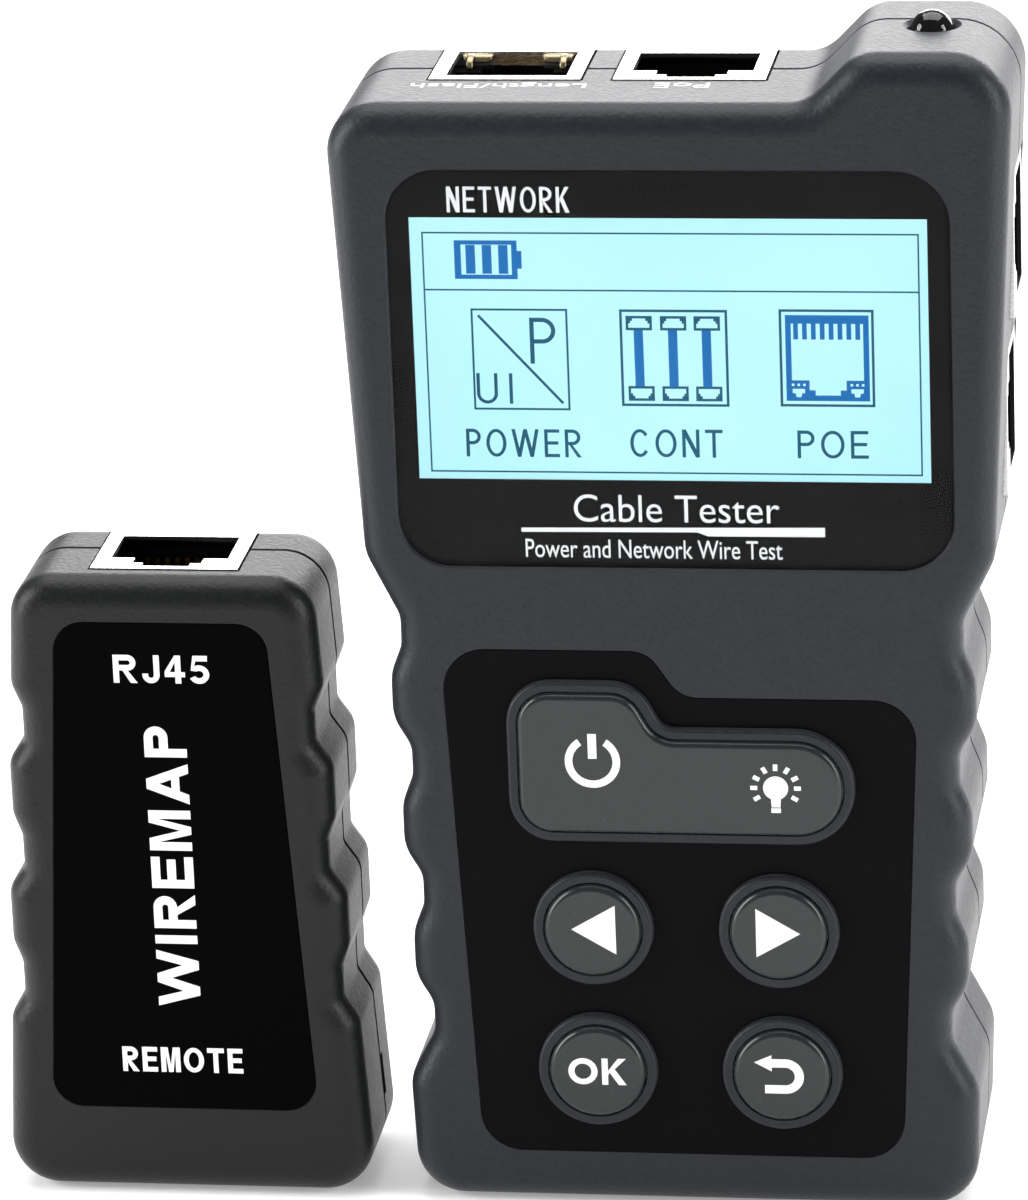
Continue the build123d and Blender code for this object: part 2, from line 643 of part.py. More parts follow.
# ================================================================ screws
def screw(length, head_r=1.95, shank_r=1.0):
    """Cross-recessed screw pointing to -y; the underside of its head is at y = 0."""
    with BuildPart() as one:
        with BuildSketch(Plane.XZ):
            Circle(shank_r)
        extrude(amount=length)
        with BuildSketch(Plane.XZ):
            Circle(head_r)
        extrude(amount=-1.5)
        fillet(one.faces().sort_by(Axis.Y)[-1].edges(), 0.5)
        with BuildSketch(Plane.XZ.offset(-1.5)):
            Rectangle(2.2, 0.45)
            Rectangle(0.45, 2.2)
        extrude(amount=0.9, mode=Mode.SUBTRACT)
    return one.part


with BuildPart() as case_screws:
    for x, z in case_screws_xz:
        add(screw(8.5).moved(Location((x, seam_y + 2.42, z))))
case_screws.part.label = "case_screws"
export_step(case_screws.part, "parts/case_screws.step")

# ================================================================ remote unit
with BuildPart() as remote_front_shell:
    add(split_block(remote_outline(), remote_front, remote_back, remote_seam, remote_back_round, front=True)
        .moved(Location((remote_x, 0, 0))))
    with BuildSketch(facing(remote_front + remote_wall)):
        with Locations((remote_x, 0)):
            add(remote_outline(remote_wall))
    extrude(amount=-(remote_seam - remote_front), mode=Mode.SUBTRACT)
    with BuildSketch(facing(remote_front + remote_wall)):
        with Locations(*remote_screws_xz):
            Circle(2.4)
    extrude(amount=-(remote_seam - remote_front - remote_wall))
    with BuildSketch(facing(remote_seam)):
        with Locations(*remote_screws_xz):
            Circle(1.02)
    extrude(amount=7.0, mode=Mode.SUBTRACT)
    with BuildSketch(facing(remote_front)):
        with Locations((remote_x, 0)):
            add(label_outline())
    extrude(amount=-0.4, mode=Mode.SUBTRACT)
    with Locations((remote_x, remote_port_y, remote_top)):
        Box(port_w + port_gap, port_h + port_gap, 12, mode=Mode.SUBTRACT)
remote_front_shell.part.label = "remote_front_shell"
export_step(remote_front_shell.part, "parts/remote_front_shell.step")

with BuildPart() as remote_back_shell:
    add(split_block(remote_outline(), remote_front, remote_back, remote_seam, remote_back_round, front=False)
        .moved(Location((remote_x, 0, 0))))
    with BuildSketch(facing(remote_seam)):
        with Locations((remote_x, 0)):
            add(remote_outline(remote_wall))
    extrude(amount=-(remote_back - remote_wall - remote_seam), mode=Mode.SUBTRACT)
    with BuildSketch(facing(remote_seam)):
        with Locations(*remote_screws_xz):
            Circle(3.1)
    extrude(amount=-(remote_back - remote_wall - remote_seam))
    with BuildSketch(facing(remote_seam)):
        with Locations(*remote_screws_xz):
            Circle(1.3)
    extrude(amount=-remote_depth, mode=Mode.SUBTRACT)
    with BuildSketch(facing(remote_seam + 2.4)):
        with Locations(*remote_screws_xz):
            Circle(2.25)
    extrude(amount=-remote_depth, mode=Mode.SUBTRACT)
    with Locations((remote_x, remote_port_y, remote_top)):
        Box(port_w + port_gap, port_h + port_gap, 12, mode=Mode.SUBTRACT)
    # pry slot at the parting line, low on the right-hand side
    with Locations((remote_x + remote_half - 0.4, remote_seam + 0.6, 9.0)):
        Box(1.2, 1.2, 4.5, mode=Mode.SUBTRACT)
remote_back_shell.part.label = "remote_back_shell"
export_step(remote_back_shell.part, "parts/remote_back_shell.step")

with BuildPart() as remote_label:
    with BuildSketch(facing(remote_front + 0.08)):
        with Locations((remote_x, 0)):
            add(label_outline(0.12))
    extrude(amount=-0.3)
remote_label.part.label = "remote_label"
export_step(remote_label.part, "parts/remote_label.step")

remote_board_y = remote_port_y + port_h / 2 + 0.1
with BuildPart() as remote_board:
    with BuildSketch(facing(remote_board_y)):
        with Locations((remote_x, 42)):
            Rectangle(22, 40)
    extrude(amount=-1.2)
remote_board.part.label = "remote_board"
export_step(remote_board.part, "parts/remote_board.step")

with BuildPart() as remote_resistors:
    for k in range(8):
        with BuildSketch(facing(remote_board_y)):
            with Locations((remote_x - 7 + 2 * k, 44)):
                Rectangle(1.2, 3.2)
        extrude(amount=0.6)
remote_resistors.part.label = "remote_resistors"
export_step(remote_resistors.part, "parts/remote_resistors.step")

with BuildPart() as remote_chip:
    with BuildSketch(facing(remote_board_y)):
        with Locations((remote_x, 33)):
            Rectangle(8.6, 4)
    extrude(amount=1.5)
remote_chip.part.label = "remote_chip"
export_step(remote_chip.part, "parts/remote_chip.step")

with BuildPart() as remote_screws:
    for x, z in remote_screws_xz:
        add(screw(6.5).moved(Location((x, remote_seam + 2.42, z))))
remote_screws.part.label = "remote_screws"
export_step(remote_screws.part, "parts/remote_screws.step")
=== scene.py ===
import math

import bmesh
import bpy
from mathutils import Matrix, Quaternion, Vector


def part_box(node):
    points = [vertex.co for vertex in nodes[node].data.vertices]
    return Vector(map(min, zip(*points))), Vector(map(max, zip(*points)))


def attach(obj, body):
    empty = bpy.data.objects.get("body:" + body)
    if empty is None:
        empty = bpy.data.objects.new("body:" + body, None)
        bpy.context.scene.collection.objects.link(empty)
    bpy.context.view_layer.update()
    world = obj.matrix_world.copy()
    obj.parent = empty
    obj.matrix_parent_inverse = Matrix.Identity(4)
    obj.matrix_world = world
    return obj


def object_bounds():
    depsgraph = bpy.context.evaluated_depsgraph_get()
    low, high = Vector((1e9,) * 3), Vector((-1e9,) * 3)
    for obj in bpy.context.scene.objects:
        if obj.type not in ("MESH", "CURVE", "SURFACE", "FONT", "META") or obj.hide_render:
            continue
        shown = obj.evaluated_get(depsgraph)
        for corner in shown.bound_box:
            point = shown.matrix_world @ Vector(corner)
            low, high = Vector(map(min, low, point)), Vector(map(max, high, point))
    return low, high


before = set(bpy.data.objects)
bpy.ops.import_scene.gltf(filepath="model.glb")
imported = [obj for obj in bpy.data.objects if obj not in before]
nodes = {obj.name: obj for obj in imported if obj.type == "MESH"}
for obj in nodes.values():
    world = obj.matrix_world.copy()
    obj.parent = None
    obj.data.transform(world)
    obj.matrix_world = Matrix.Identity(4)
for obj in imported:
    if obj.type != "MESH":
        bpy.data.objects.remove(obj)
cad_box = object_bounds()

MM = 0.001
TO_METRES = Matrix.Diagonal((MM, MM, MM, 1))

# Flat shapes are drawn in mm as (x, z) pairs, x to the right and z up.
PRINT = 0.03      # thickness of printed ink and moulded-in symbols
SINK = 0.01       # how far a print is let into the surface below it

SOCKET_HALF_H = 5.6                               # half the height of a socket's face
MOUTH_W, MOUTH_H, MOUTH_BORDER = 11.9, 6.7, 1.3   # plug opening, and the frame above it
LATCH_W1, LATCH_H1 = 7.0, 1.5                     # upper step of the opening's latch slot
LATCH_W2, LATCH_H2 = 4.8, 0.9                     # lower step
LIP = 0.9                                         # how far a lip reaches into its socket
LIP_DEPTH = 0.03                                  # how far its front edge lies below the face


# ---------------------------------------------------------------- materials

def linear(rgb):
    """An 8-bit sRGB colour as the linear colour that a shader takes."""
    out = []
    for c in rgb:
        c = c / 255
        out.append(c / 12.92 if c <= 0.04045 else ((c + 0.055) / 1.055) ** 2.4)
    return out


def tinted(rgb, gain):
    return [min(1.0, c * gain) for c in rgb] + [1.0]


class Tree:
    """A material's node tree, with short calls for the nodes that several finishes share."""

    def __init__(self, name):
        self.mat = bpy.data.materials.new(name)
        self.mat.use_nodes = True
        self.nodes = self.mat.node_tree.nodes
        self.links = self.mat.node_tree.links
        self.shader = self.nodes["Principled BSDF"]
        self.out = self.nodes["Material Output"]
        self.coords = self.nodes.new("ShaderNodeTexCoord").outputs["Object"]

    def join(self, a, b):
        self.links.new(a, b)

    def noise(self, scale, detail=3.0, rough=0.55, stretch=None):
        n = self.nodes.new("ShaderNodeTexNoise")
        n.inputs["Scale"].default_value = scale
        n.inputs["Detail"].default_value = detail
        n.inputs["Roughness"].default_value = rough
        source = self.coords
        if stretch:
            m = self.nodes.new("ShaderNodeMapping")
            m.inputs["Scale"].default_value = stretch
            self.join(source, m.inputs["Vector"])
            source = m.outputs["Vector"]
        self.join(source, n.inputs["Vector"])
        return n.outputs["Fac"]

    def cells(self, scale):
        n = self.nodes.new("ShaderNodeTexVoronoi")
        n.inputs["Scale"].default_value = scale
        self.join(self.coords, n.inputs["Vector"])
        return n.outputs["Distance"]

    def remap(self, value, low, high, to_low, to_high, smooth=False):
        n = self.nodes.new("ShaderNodeMapRange")
        if smooth:
            n.interpolation_type = "SMOOTHSTEP"
        for i, v in zip((1, 2, 3, 4), (low, high, to_low, to_high)):
            n.inputs[i].default_value = v
        self.join(value, n.inputs[0])
        return n.outputs[0]

    def maths(self, kind, a, b=None):
        n = self.nodes.new("ShaderNodeMath")
        n.operation = kind
        for i, v in enumerate((a, b)):
            if isinstance(v, (int, float)):
                n.inputs[i].default_value = v
            elif v is not None:
                self.join(v, n.inputs[i])
        return n.outputs[0]

    def blend(self, fac, a, b):
        """A colour between a and b, which are colours or sockets."""
        n = self.nodes.new("ShaderNodeMix")
        n.data_type = "RGBA"
        self.join(fac, n.inputs[0])
        for i, v in ((6, a), (7, b)):
            if isinstance(v, (list, tuple)):
                n.inputs[i].default_value = v
            else:
                self.join(v, n.inputs[i])
        return n.outputs[2]

    def axis(self, letter):
        n = self.nodes.new("ShaderNodeSeparateXYZ")
        self.join(self.coords, n.inputs[0])
        return n.outputs[letter]

    def bump(self, height, strength, distance):
        """Relief from a height, in place of any relief the shader has."""
        n = self.nodes.new("ShaderNodeBump")
        n.inputs["Strength"].default_value = strength
        n.inputs["Distance"].default_value = distance
        self.join(height, n.inputs["Height"])
        self.join(n.outputs["Normal"], self.shader.inputs["Normal"])

    def set(self, **values):
        """Constants on the shader's own sockets, with _ for a space in the name."""
        for key, value in values.items():
            self.shader.inputs[key.replace("_", " ")].default_value = value


def finish(name, rgb, spread=0.12, patch=260.0, rough=(0.4, 0.55), grain=2600.0,
           relief=0.25, depth=0.00004, stretch=None, **fixed):
    """A finish with a mottled colour, an uneven roughness and a fine relief."""
    t = Tree(name)
    base = linear(rgb)
    slow = t.noise(patch, 4.0, 0.6, stretch)
    fine = t.noise(grain, 2.0, 0.5, stretch)
    mixed = t.maths("ADD", t.maths("MULTIPLY", slow, 0.45), t.maths("MULTIPLY", fine, 0.55))
    fac = t.remap(mixed, 0.35, 0.65, 0.0, 1.0)
    t.join(t.blend(fac, tinted(base, 1 - spread), tinted(base, 1 + spread)),
           t.shader.inputs["Base Color"])
    t.join(t.remap(slow, 0.3, 0.7, rough[0], rough[1]), t.shader.inputs["Roughness"])
    t.bump(fine, relief, depth)
    t.set(**fixed)
    return t


def clear(name, ior, rough, tint):
    """Clear plastic: it bends what is seen through it, and light falls straight through."""
    t = Tree(name)
    smear = t.noise(90.0, 3.0, 0.5)
    t.join(t.remap(smear, 0.3, 0.7, rough[0], rough[1]), t.shader.inputs["Roughness"])
    t.join(t.blend(t.noise(400.0), tinted(tint, 0.985), tinted(tint, 1.0)),
           t.shader.inputs["Base Color"])
    t.set(IOR=ior, Transmission_Weight=1.0)
    path = t.nodes.new("ShaderNodeLightPath")
    through = t.nodes.new("ShaderNodeBsdfTransparent")
    mix = t.nodes.new("ShaderNodeMixShader")
    t.join(path.outputs["Is Shadow Ray"], mix.inputs[0])
    t.join(t.shader.outputs[0], mix.inputs[1])
    t.join(through.outputs[0], mix.inputs[2])
    t.join(mix.outputs[0], t.out.inputs["Surface"])
    return t


def plastic(name, rgb):
    """Spark-textured ABS: a fine pebble with a slightly uneven sheen."""
    t = finish(name, rgb, spread=0.30, patch=1500.0, rough=(0.40, 0.48), grain=4200.0,
               Specular_IOR_Level=0.28, Sheen_Weight=0.12, Sheen_Roughness=0.35)
    pebble = t.cells(2000.0)
    fine = t.noise(4600.0, 2.0)
    height = t.maths("ADD", t.remap(pebble, 0.0, 0.7, 0.0, 1.0), t.maths("MULTIPLY", fine, 0.6))
    t.bump(height, 0.50, 0.00004)
    return t


def board():
    """Green solder mask over copper runs, with round tinned pads."""
    t = finish("board", (14, 66, 38), spread=0.18, rough=(0.25, 0.38), relief=0.1)
    bricks = t.nodes.new("ShaderNodeTexBrick")
    m = t.nodes.new("ShaderNodeMapping")
    m.inputs["Rotation"].default_value = (math.radians(90), 0, 0)
    t.join(t.coords, m.inputs["Vector"])
    t.join(m.outputs["Vector"], bricks.inputs["Vector"])
    for key, value in {"Scale": 240.0, "Mortar Size": 0.06, "Brick Width": 1.7,
                       "Row Height": 0.34}.items():
        bricks.inputs[key].default_value = value
    dots = t.remap(t.cells(330.0), 0.10, 0.13, 1.0, 0.0)
    green, run = linear((14, 66, 38)), linear((30, 104, 62))
    runs = t.blend(bricks.outputs["Fac"], tinted(green, 1.0), tinted(run, 1.0))
    t.join(t.blend(dots, runs, tinted(linear((190, 192, 190)), 1.0)),
           t.shader.inputs["Base Color"])
    return t


def cell_wrap():
    """A plastic sleeve in two colours, and bare metal at both ends of a cell."""
    t = finish("cell_wrap", (24, 60, 74), spread=0.1, rough=(0.22, 0.34), relief=0.08)
    lo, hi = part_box("battery_cells")
    z = t.axis("Z")
    step = 0.0002                       # a change of colour takes this much height, m
    band_low, band_high = lo.z + 0.0115, hi.z - 0.0121
    metal_low, metal_high = lo.z + 0.0008, hi.z - 0.0016
    band = t.remap(z, band_low, band_low + step, 0.0, 1.0)
    band = t.maths("MULTIPLY", band, t.remap(z, band_high, band_high + step, 1.0, 0.0))
    sleeve = t.blend(band, tinted(linear((186, 132, 44)), 1.0), tinted(linear((22, 58, 72)), 1.0))
    speck = t.blend(t.noise(900.0), tinted(linear((170, 172, 172)), 0.9),
                    tinted(linear((196, 198, 198)), 1.0))
    covered = t.maths("MULTIPLY", t.remap(z, metal_low, metal_low + step, 0.0, 1.0),
                      t.remap(z, metal_high, metal_high + step, 1.0, 0.0))
    t.join(t.blend(covered, speck, sleeve), t.shader.inputs["Base Color"])
    t.join(t.maths("SUBTRACT", 1.0, covered), t.shader.inputs["Metallic"])
    return t


def lit(name, low, high, strength):
    """A backlit face: an even glow with faint unevenness from the light guide behind it."""
    t = Tree(name)
    glow = t.blend(t.remap(t.noise(60.0, 2.0), 0.3, 0.7, 0.0, 1.0), tinted(linear(low), 1.0),
                   tinted(linear(high), 1.0))
    t.join(glow, t.shader.inputs["Emission Color"])
    t.join(t.blend(t.noise(1500.0), tinted(linear(low), 0.04), tinted(linear(high), 0.05)),
           t.shader.inputs["Base Color"])
    t.join(t.remap(t.noise(700.0), 0.3, 0.7, 0.5, 0.62), t.shader.inputs["Roughness"])
    t.set(Emission_Strength=strength, Specular_IOR_Level=0.1)
    return t


def metal(name, rgb, rough, stretch):
    """Drawn metal: its streaks run across the axis of the largest stretch."""
    return finish(name, rgb, spread=0.06, patch=500.0, rough=rough, grain=3000.0, relief=0.15,
                  depth=0.00002, stretch=stretch, Metallic=1.0)


finishes = {
    "case_plastic": plastic("case_plastic", (27, 30, 36)),
    "key_plastic": finish("key_plastic", (32, 36, 37), spread=0.10, patch=1200.0,
                          rough=(0.20, 0.28), grain=3800.0, relief=0.14, depth=0.00002,
                          Specular_IOR_Level=0.42, Sheen_Weight=0.25, Sheen_Roughness=0.3),
    "lens_clear": clear("lens_clear", 1.14, (0.015, 0.035), (0.97, 0.985, 0.99)),
    "black_film": finish("black_film", (4, 4, 4), spread=0.2, rough=(0.28, 0.36), relief=0.03,
                         Specular_IOR_Level=0.02),
    "overlay_film": finish("overlay_film", (8, 6, 8), spread=0.25, patch=700.0,
                           rough=(0.40, 0.50), grain=4200.0, relief=0.18, depth=0.00002,
                           Specular_IOR_Level=0.05),
    "lcd": lit("lcd", (184, 244, 255), (192, 249, 255), 1.0),
    "backlight": lit("backlight", (205, 245, 255), (215, 250, 255), 0.4),
    "steel": metal("steel", (236, 236, 234), (0.22, 0.34), (1.0, 1.0, 7.0)),
    "rubber_grey": finish("rubber_grey", (70, 72, 74), rough=(0.6, 0.72), relief=0.3),
    "board": board(),
    "chip": finish("chip", (24, 24, 26), spread=0.2, rough=(0.42, 0.55), relief=0.3),
    "port_black": finish("port_black", (8, 8, 9), spread=0.15, rough=(0.55, 0.68),
                         relief=0.15, Specular_IOR_Level=0.06),
    "gold": metal("gold", (176, 136, 70), (0.18, 0.28), (1.0, 1.0, 5.0)),
    # the clear LED's grey tint is painted shade: it darkens the clear dome to the dark of the
    # hole it sits in
    "led_clear": clear("led_clear", 1.50, (0.0, 0.02), (0.50, 0.51, 0.54)),
    "cell_wrap": cell_wrap(),
    "lead_red": finish("lead_red", (168, 26, 22), rough=(0.3, 0.42), relief=0.1),
    "lead_black": finish("lead_black", (22, 22, 23), rough=(0.3, 0.42), relief=0.1),
    "screw_steel": metal("screw_steel", (120, 118, 112), (0.28, 0.42), (1.0, 3.0, 1.0)),
    "resistor": finish("resistor", (40, 44, 52), rough=(0.3, 0.45), relief=0.1),
}

remote_plastic = plastic("remote_plastic", (9, 11, 12))
label_film = finish("label_film", (4, 3, 4), spread=0.25, patch=700.0, rough=(0.40, 0.50),
                    grain=4200.0, relief=0.18, depth=0.00002, Specular_IOR_Level=0.015)

for name, node in nodes.items():
    slots = node.data.materials
    for i, old in enumerate(slots):
        slots[i] = finishes[old.name].mat if old.name in finishes else old
        if name in ("remote_front_shell", "remote_back_shell"):
            slots[i] = remote_plastic.mat
        elif name == "remote_label":
            slots[i] = label_film.mat

white_ink = finish("white_ink", (244, 246, 248), spread=0.03, rough=(0.42, 0.55), relief=0.12)
lens_ink = finish("lens_ink", (216, 218, 220), spread=0.03, rough=(0.5, 0.6), relief=0.05)
icon_ink = lit("icon_ink", (6, 104, 178), (16, 114, 190), 0.95)
line_ink = lit("line_ink", (14, 84, 112), (24, 96, 124), 0.95)


# ------------------------------------------------------------- flat graphics

def rect(x0, x1, z0, z1):
    return [(x0, z0), (x1, z0), (x1, z1), (x0, z1)]


def ring(x0, x1, z0, z1, w):
    """A rectangle's outline: two loops, w wide."""
    return [rect(x0, x1, z0, z1), rect(x0 + w, x1 - w, z0 + w, z1 - w)]


def oval(cx, cz, rx, rz, a0, a1, steps=28):
    """Points on an ellipse from angle a0 to a1, in degrees."""
    angles = [math.radians(a0 + (a1 - a0) * i / steps) for i in range(steps + 1)]
    return [(cx + rx * math.cos(a), cz + rz * math.sin(a)) for a in angles]


def arc(x, z, r, a0, a1):
    return oval(x, z, r, r, a0, a1, 40)


def bar(p, q, w):
    """A straight line from p to q, w wide."""
    d = Vector((q[0] - p[0], q[1] - p[1])).normalized() * (w / 2)
    n = Vector((-d.y, d.x))
    return [(p[0] + n.x, p[1] + n.y), (p[0] - n.x, p[1] - n.y),
            (q[0] - n.x, q[1] - n.y), (q[0] + n.x, q[1] + n.y)]


def curve_mesh(curve):
    """The filled and extruded mesh of a 2-D curve or text."""
    holder = bpy.data.objects.new("holder", curve)
    bpy.context.scene.collection.objects.link(holder)
    bpy.context.view_layer.update()
    mesh = bpy.data.meshes.new_from_object(
        holder.evaluated_get(bpy.context.evaluated_depsgraph_get()))
    bpy.data.objects.remove(holder)
    return mesh


def plate(loops, thick=PRINT):
    """A mesh of one filled shape: its outer loop first, then its holes."""
    curve = bpy.data.curves.new("shape", "CURVE")
    curve.dimensions = "2D"
    curve.fill_mode = "BOTH"
    curve.extrude = thick / 2
    for loop in loops:
        spline = curve.splines.new("POLY")
        spline.points.add(len(loop) - 1)
        for point, (x, z) in zip(spline.points, loop):
            point.co = (x, z, 0.0, 1.0)
        spline.use_cyclic_u = True
    return curve_mesh(curve)


def word(text, x0, x1, z0, z1, bold=0.0):
    """A mesh of a word fitted to a box, with strokes made bolder by an offset."""
    curve = bpy.data.curves.new("word", "FONT")
    curve.body = text
    curve.size = 4.0      # about the size it ends with, so that bold is nearly in mm
    curve.offset = bold
    curve.resolution_u = 5
    curve.extrude = PRINT / 2
    mesh = curve_mesh(curve)
    xs = [v.co.x for v in mesh.vertices]
    ys = [v.co.y for v in mesh.vertices]
    sx, sy = (x1 - x0) / (max(xs) - min(xs)), (z1 - z0) / (max(ys) - min(ys))
    mesh.transform(Matrix.Translation((x0, z0, 0)) @ Matrix.Diagonal((sx, sy, 1, 1))
                   @ Matrix.Translation((-min(xs), -min(ys), 0)))
    return mesh


def glyph(letter, w, s):
    """Loops of one block letter in a box w wide and 1 high, with strokes s wide."""
    if letter == "I":
        return [rect(0, w, 0, 1)]
    if letter == "T":
        return [[(0, 1 - s), (0, 1), (w, 1), (w, 1 - s), (w / 2 + s / 2, 1 - s),
                 (w / 2 + s / 2, 0), (w / 2 - s / 2, 0), (w / 2 - s / 2, 1 - s)]]
    if letter == "E":
        return [[(0, 0), (0, 1), (w, 1), (w, 1 - s), (s, 1 - s), (s, 0.5 + s * 0.6),
                 (w * 0.92, 0.5 + s * 0.6), (w * 0.92, 0.5 - s * 0.4), (s, 0.5 - s * 0.4),
                 (s, s), (w, s), (w, 0)]]
    if letter == "N":
        d = 1.15 * s / (w - 1.15 * s)
        return [[(0, 0), (0, 1), (1.15 * s, 1), (w - s, d), (w - s, 1), (w, 1), (w, 0),
                 (w - 1.15 * s, 0), (s, 1 - d), (s, 0)]]
    if letter == "W":
        a, b, h = 0.27 * w, 0.5 * w, 1.05 * s
        low, high = h / 2 / (b - a), 1 - h / 2 / (b - a)
        return [[(0, 1), (a - h / 2, 0), (a + h / 2, 0), (b, high), (w - a - h / 2, 0),
                 (w - a + h / 2, 0), (w, 1), (w - h, 1), (w - a, low * 1.15), (b + h / 2, 1),
                 (b - h / 2, 1), (a, low * 1.15), (h, 1)]]
    if letter == "M":
        return [[(0, 0), (0, 1), (1.45 * s, 1), (w / 2, 0.26), (w - 1.45 * s, 1), (w, 1), (w, 0),
                 (w - s, 0), (w - s, 0.79), (w / 2 + 0.46 * s, 0), (w / 2 - 0.46 * s, 0),
                 (s, 0.79), (s, 0)]]
    if letter == "A":
        g = w / 2 - 0.58 * s
        x = 1.12 * s
        bar_low, bar_high = 0.22, 0.22 + 0.9 * s
        return [[(0, 0), (g, 1), (w - g, 1), (w, 0), (w - x, 0), (w - x - g * bar_low, bar_low),
                 (x + g * bar_low, bar_low), (x, 0)],
                [(x + g * bar_high, bar_high), (w - x - g * bar_high, bar_high),
                 (w / 2, (w / 2 - x) / g)]]
    if letter in "PR":
        r, right = 0.28, w if letter == "P" else w * 0.95
        bowl = [(0, 0), (0, 1)] + oval(right - r, 1 - r, r, r, 90, -90)
        if letter == "R":
            bowl += [(w, 0), (w - 1.2 * s, 0), (right - r - 0.9 * s, 1 - 2 * r)]
        hole = [(s, 1 - 2 * r + s), (s, 1 - s)] + oval(right - r, 1 - r, r - s, r - s, 90, -90)
        return [bowl + [(s, 1 - 2 * r), (s, 0)], hole]
    if letter == "O":
        return [oval(w / 2, 0.5, w / 2, 0.5, 0, 350, 35),
                oval(w / 2, 0.5, w / 2 - s, 0.5 - s * 0.95, 0, 350, 35)]
    if letter == "C":
        return [oval(w / 2, 0.5, w / 2, 0.5, 38, 322)
                + oval(w / 2, 0.5, w / 2 - s, 0.5 - s * 0.95, 322, 38)]
    if letter == "K":
        return [[(0, 0), (0, 1), (s, 1), (s, 0.53), (w - 1.3 * s, 1), (w, 1),
                 (0.40 * w + 0.5 * s, 0.60), (w, 0), (w - 1.25 * s, 0),
                 (0.40 * w - 0.35 * s, 0.475), (s, 0.34), (s, 0)]]
    if letter in "JU":
        left = 0.34 if letter == "J" else 1
        return [[(w - s, 1), (w, 1)] + oval(w / 2, w / 2, w / 2, w / 2, 0, -180) + [(0, left),
                (s, left)] + oval(w / 2, w / 2, w / 2 - s, w / 2 - s * 0.95, -180, 0)]
    if letter == "4":
        x = 0.80 * w
        return [[(0, 0.23), (0, 0.23 + s), (x - s, 1), (x, 1), (x, 0.23 + s * 0.9),
                 (w, 0.23 + s * 0.9), (w, 0.23), (x, 0.23), (x, 0), (x - s, 0), (x - s, 0.23)],
                [(0.9 * s, 0.23 + s * 0.9), (x - s, 0.23 + s * 0.9), (x - s, 0.83 - 0.3 * s)]]
    # the digit 5
    return [[(0.92 * w, 1 - s), (0.92 * w, 1), (0.17 * w, 1), (0.04 * w, 0.47)]
            + oval(0.47 * w, 0.33, 0.53 * w - s, 0.33 - s, 125, -155)
            + oval(0.47 * w, 0.33, 0.53 * w, 0.33, -155, 116) + [(0.29 * w, 1 - s)]]


# Letter widths for a height of 1; an I is as wide as its stroke.
WIDTHS = {"I": 0.0, "T": 0.80, "E": 0.72, "N": 0.78, "W": 1.30, "M": 0.92, "A": 0.92, "P": 0.70,
          "R": 0.78, "O": 0.96, "C": 0.88, "K": 0.80, "J": 0.56, "U": 0.76, "4": 0.66, "5": 0.62}


def block(text, x0, x1, z0, z1, stroke, gap=0.16):
    """A word in block letters fitted to a box, as a list of shapes."""
    high = z1 - z0
    s = stroke / high
    widths = [WIDTHS[c] or s for c in text]
    squeeze = (x1 - x0) / high / (sum(widths) + gap * (len(text) - 1))
    shapes, x = [], x0
    for c, w in zip(text, widths):
        w_out = w * squeeze if WIDTHS[c] else s
        shapes.append([[(x + u * high, z0 + v * high) for u, v in loop]
                       for loop in glyph(c, w_out, s)])
        x += (w + gap) * squeeze * high
    return shapes


def turned(shapes):
    """Shapes turned a quarter so that a word reads upwards."""
    return [[[(-z, x) for x, z in loop] for loop in shape] for shape in shapes]


# How a drawn shape is turned: upright on the front, flat on top and read from behind, or
# upright on the right-hand side.
FRONT = Matrix.Rotation(math.radians(90), 4, "X")
TOP_TURNED = Matrix.Rotation(math.radians(180), 4, "Z")
SIDEWAYS = Matrix.Rotation(math.radians(90), 4, "Y")


def piece_of(bm, name, tree):
    """An object in the scene with a bmesh's faces and one finish."""
    mesh = bpy.data.meshes.new(name)
    bm.to_mesh(mesh)
    bm.free()
    mesh.materials.append(tree.mat)
    piece = bpy.data.objects.new(name, mesh)
    bpy.context.scene.collection.objects.link(piece)
    return piece


def stamp(name, shapes, body, at, tree, facing=FRONT):
    """One flat piece: shapes drawn about a point, turned by facing, riding on a body."""
    bm = bmesh.new()
    for shape in shapes:
        mesh = shape if isinstance(shape, bpy.types.Mesh) else plate(shape)
        bm.from_mesh(mesh)
        bpy.data.meshes.remove(mesh)
    bmesh.ops.remove_doubles(bm, verts=bm.verts, dist=0.00005)
    bmesh.ops.recalc_face_normals(bm, faces=bm.faces)
    lift = Matrix.Translation((0, 0, PRINT / 2 - SINK))
    bmesh.ops.transform(bm, verts=bm.verts,
                        matrix=TO_METRES @ Matrix.Translation(at) @ facing @ lift)
    piece = piece_of(bm, name, tree)
    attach(piece, body)


def middle(node):
    """The middle of a node's box, in mm."""
    lo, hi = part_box(node)
    return (lo + hi) / 2 / MM


def side(node, end, axis):
    """A node's lowest (0) or highest (1) coordinate along an axis, in mm."""
    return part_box(node)[end][axis] / MM


# ------------------------------------------------------------- display image

panel = middle("lcd_panel")
screen = (panel.x, side("lcd_panel", 0, 1), panel.z)

# the border, the status line, and the frames and words of the three functions

